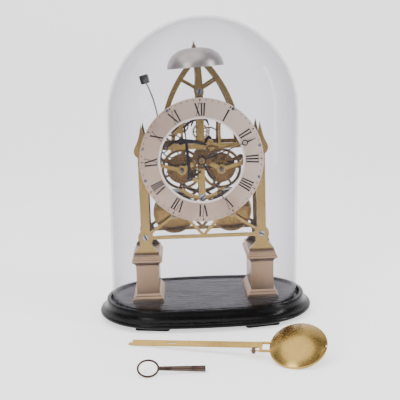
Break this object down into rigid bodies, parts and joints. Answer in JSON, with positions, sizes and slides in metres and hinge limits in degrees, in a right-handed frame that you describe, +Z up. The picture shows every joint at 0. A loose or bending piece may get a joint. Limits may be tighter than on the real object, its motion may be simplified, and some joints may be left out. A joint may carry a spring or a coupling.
{
  "type": "striking skeleton clock under glass dome",
  "caption": "Skeleton clock with pierced brass frame, silvered chapter ring, bell and twin fusees, on an ebonised base under a glass dome, pendulum and key beside it.",
  "frame": {"origin": "on the plane the feet stand on, below the middle of the whole group with its loose pendulum and key", "axes": "+X to the right seen from the front, +Y to the back, +Z up"},
  "size_m": [0.295, 0.3224, 0.405],
  "materials": {
    "ebonised_wood": "ebonised and satin polished",
    "dome_glass": "clear blown glass",
    "polished_brass": "polished, slightly tarnished",
    "pedestal_brass": "matte lacquered brass",
    "frame_brass": "polished plate",
    "pendulum_brass": "polished brass",
    "blued_steel": "heat-blued",
    "silvered_brass": "silvered and brushed",
    "bell_nickel": "satin bell metal",
    "polished_steel": "polished steel",
    "dark_steel": "dark browned steel"
  },
  "bodies": {
    "root": {"wood_base": "ebonised_wood", "base_feet": "ebonised_wood", "left_pedestal": "pedestal_brass", "right_pedestal": "pedestal_brass", "front_plate": "frame_brass", "back_plate": "frame_brass", "plate_pillars": "frame_brass", "plate_screws": "blued_steel", "chapter_ring": "silvered_brass", "dial_feet": "polished_brass", "dial_screws": "blued_steel", "bell_stand": "polished_steel", "bell": "bell_nickel", "bell_nut": "polished_brass", "suspension_cock": "polished_brass", "going_barrel_arbor": "polished_steel", "strike_barrel_arbor": "polished_steel", "going_chain": "polished_steel", "strike_chain": "polished_steel", "lever_posts": "polished_steel"},
    "dome": {"glass_dome": "dome_glass"},
    "going_barrel_body": {"going_barrel": "polished_brass", "going_barrel_cap": "polished_brass", "going_mainspring": "polished_steel"},
    "going_fusee_body": {"going_fusee": "polished_brass", "going_great_wheel": "polished_brass", "going_fusee_arbor": "polished_steel"},
    "centre_body": {"centre_arbor": "polished_steel", "centre_wheel": "polished_brass", "cannon_pinion": "polished_steel", "minute_hand": "blued_steel", "hand_collet": "polished_brass"},
    "third_body": {"third_wheel": "polished_brass"},
    "escape_body": {"escape_arbor": "polished_steel", "escape_wheel": "polished_brass"},
    "anchor_body": {"anchor": "polished_steel", "anchor_arbor": "polished_steel"},
    "minute_wheel_body": {"minute_wheel": "polished_brass"},
    "hour_body": {"hour_wheel": "polished_brass", "snail": "polished_brass", "hour_hand": "blued_steel"},
    "strike_barrel_body": {"strike_barrel": "polished_brass", "strike_barrel_cap": "polished_brass", "strike_mainspring": "polished_steel"},
    "strike_fusee_body": {"strike_fusee": "polished_brass", "strike_great_wheel": "polished_brass", "strike_fusee_arbor": "polished_steel"},
    "pin_wheel_body": {"pin_wheel": "polished_brass"},
    "gathering_body": {"gathering_wheel": "polished_brass"},
    "warning_body": {"warning_wheel": "polished_brass"},
    "fly_body": {"fly": "polished_brass"},
    "hammer_body": {"hammer": "polished_steel", "hammer_head": "polished_steel"},
    "rack_body": {"rack": "polished_steel"},
    "rack_hook_body": {"rack_hook": "polished_steel"},
    "lifting_body": {"lifting_piece": "polished_steel"},
    "pendulum_body": {"pendulum_rod": "pendulum_brass", "pendulum_bob": "pendulum_brass"},
    "rating_nut_body": {"rating_nut": "dark_steel"},
    "key_body": {"winding_key": "dark_steel"}
  },
  "joints": [
    {"name": "dome_lift", "type": "slide", "parent": "root", "child": "dome", "axis": [0, 0, 1], "range_m": [0, 0.4]},
    {"name": "centre_spin", "type": "hinge", "parent": "root", "child": "centre_body", "pos_m": [0, 0.0677, 0.217], "axis": [0, 1, 0], "continuous": true},
    {"name": "going_fusee_spin", "type": "hinge", "parent": "root", "child": "going_fusee_body", "pos_m": [0.0265, 0.0677, 0.203], "axis": [0, 1, 0], "continuous": true},
    {"name": "going_barrel_spin", "type": "hinge", "parent": "root", "child": "going_barrel_body", "pos_m": [0.039, 0.0677, 0.142], "axis": [0, 1, 0], "continuous": true},
    {"name": "third_spin", "type": "hinge", "parent": "root", "child": "third_body", "pos_m": [0.0128, 0.0677, 0.2387], "axis": [0, 1, 0], "continuous": true},
    {"name": "escape_spin", "type": "hinge", "parent": "root", "child": "escape_body", "pos_m": [0, 0.0677, 0.253], "axis": [0, 1, 0], "continuous": true},
    {"name": "minute_wheel_spin", "type": "hinge", "parent": "root", "child": "minute_wheel_body", "pos_m": [0.0145, 0.0677, 0.2238], "axis": [0, 1, 0], "continuous": true},
    {"name": "hour_spin", "type": "hinge", "parent": "root", "child": "hour_body", "pos_m": [0, 0.0677, 0.217], "axis": [0, 1, 0], "continuous": true},
    {"name": "anchor_rock", "type": "hinge", "parent": "root", "child": "anchor_body", "pos_m": [0, 0.0677, 0.2705], "axis": [0, 1, 0], "range_deg": [-3, 3]},
    {"name": "gathering_spin", "type": "hinge", "parent": "root", "child": "gathering_body", "pos_m": [-0.036, 0.0677, 0.2496], "axis": [0, 1, 0], "continuous": true},
    {"name": "pin_wheel_spin", "type": "hinge", "parent": "root", "child": "pin_wheel_body", "pos_m": [-0.0386, 0.0677, 0.2306], "axis": [0, 1, 0], "continuous": true},
    {"name": "strike_fusee_spin", "type": "hinge", "parent": "root", "child": "strike_fusee_body", "pos_m": [-0.0265, 0.0677, 0.203], "axis": [0, 1, 0], "continuous": true},
    {"name": "strike_barrel_spin", "type": "hinge", "parent": "root", "child": "strike_barrel_body", "pos_m": [-0.039, 0.0677, 0.142], "axis": [0, 1, 0], "continuous": true},
    {"name": "warning_spin", "type": "hinge", "parent": "root", "child": "warning_body", "pos_m": [-0.0255, 0.0677, 0.26], "axis": [0, 1, 0], "continuous": true},
    {"name": "fly_spin", "type": "hinge", "parent": "root", "child": "fly_body", "pos_m": [-0.02, 0.0677, 0.2713], "axis": [0, 1, 0], "continuous": true},
    {"name": "hammer_swing", "type": "hinge", "parent": "root", "child": "hammer_body", "pos_m": [-0.057, 0.0677, 0.211], "axis": [0, 1, 0], "range_deg": [0, 10.5]},
    {"name": "rack_fall", "type": "hinge", "parent": "root", "child": "rack_body", "pos_m": [-0.016, 0.0677, 0.192], "axis": [0, 1, 0], "range_deg": [-9, 0]},
    {"name": "hook_lift", "type": "hinge", "parent": "root", "child": "rack_hook_body", "pos_m": [0, 0.0677, 0.28], "axis": [0, 1, 0], "range_deg": [0, 12]},
    {"name": "lifting_rise", "type": "hinge", "parent": "root", "child": "lifting_body", "pos_m": [-0.047, 0.0677, 0.2355], "axis": [0, 1, 0], "range_deg": [-7, 0]},
    {"name": "pendulum_lift", "type": "slide", "parent": "root", "child": "pendulum_body", "axis": [0, 0, 1], "range_m": [0, 0.15]},
    {"name": "key_lift", "type": "slide", "parent": "root", "child": "key_body", "axis": [0, 0, 1], "range_m": [0, 0.15]},
    {"name": "rating_nut_spin", "type": "hinge", "parent": "pendulum_body", "child": "rating_nut_body", "pos_m": [0.04934, -0.11632, 0.00955], "axis": [0.9405, -0.333, 0.068], "continuous": true}
  ],
  "couplings": [
    {"joint": "going_fusee_spin", "follows": "centre_spin", "ratio": -0.083333},
    {"joint": "going_barrel_spin", "follows": "centre_spin", "ratio": -0.0424},
    {"joint": "third_spin", "follows": "centre_spin", "ratio": -12},
    {"joint": "escape_spin", "follows": "centre_spin", "ratio": 132},
    {"joint": "minute_wheel_spin", "follows": "centre_spin", "ratio": -0.33333},
    {"joint": "hour_spin", "follows": "centre_spin", "ratio": 0.083333},
    {"joint": "pin_wheel_spin", "follows": "gathering_spin", "ratio": -0.125},
    {"joint": "strike_fusee_spin", "follows": "gathering_spin", "ratio": 0.010417},
    {"joint": "strike_barrel_spin", "follows": "gathering_spin", "ratio": 0.0053},
    {"joint": "warning_spin", "follows": "gathering_spin", "ratio": -7},
    {"joint": "fly_spin", "follows": "gathering_spin", "ratio": 49}
  ]
}
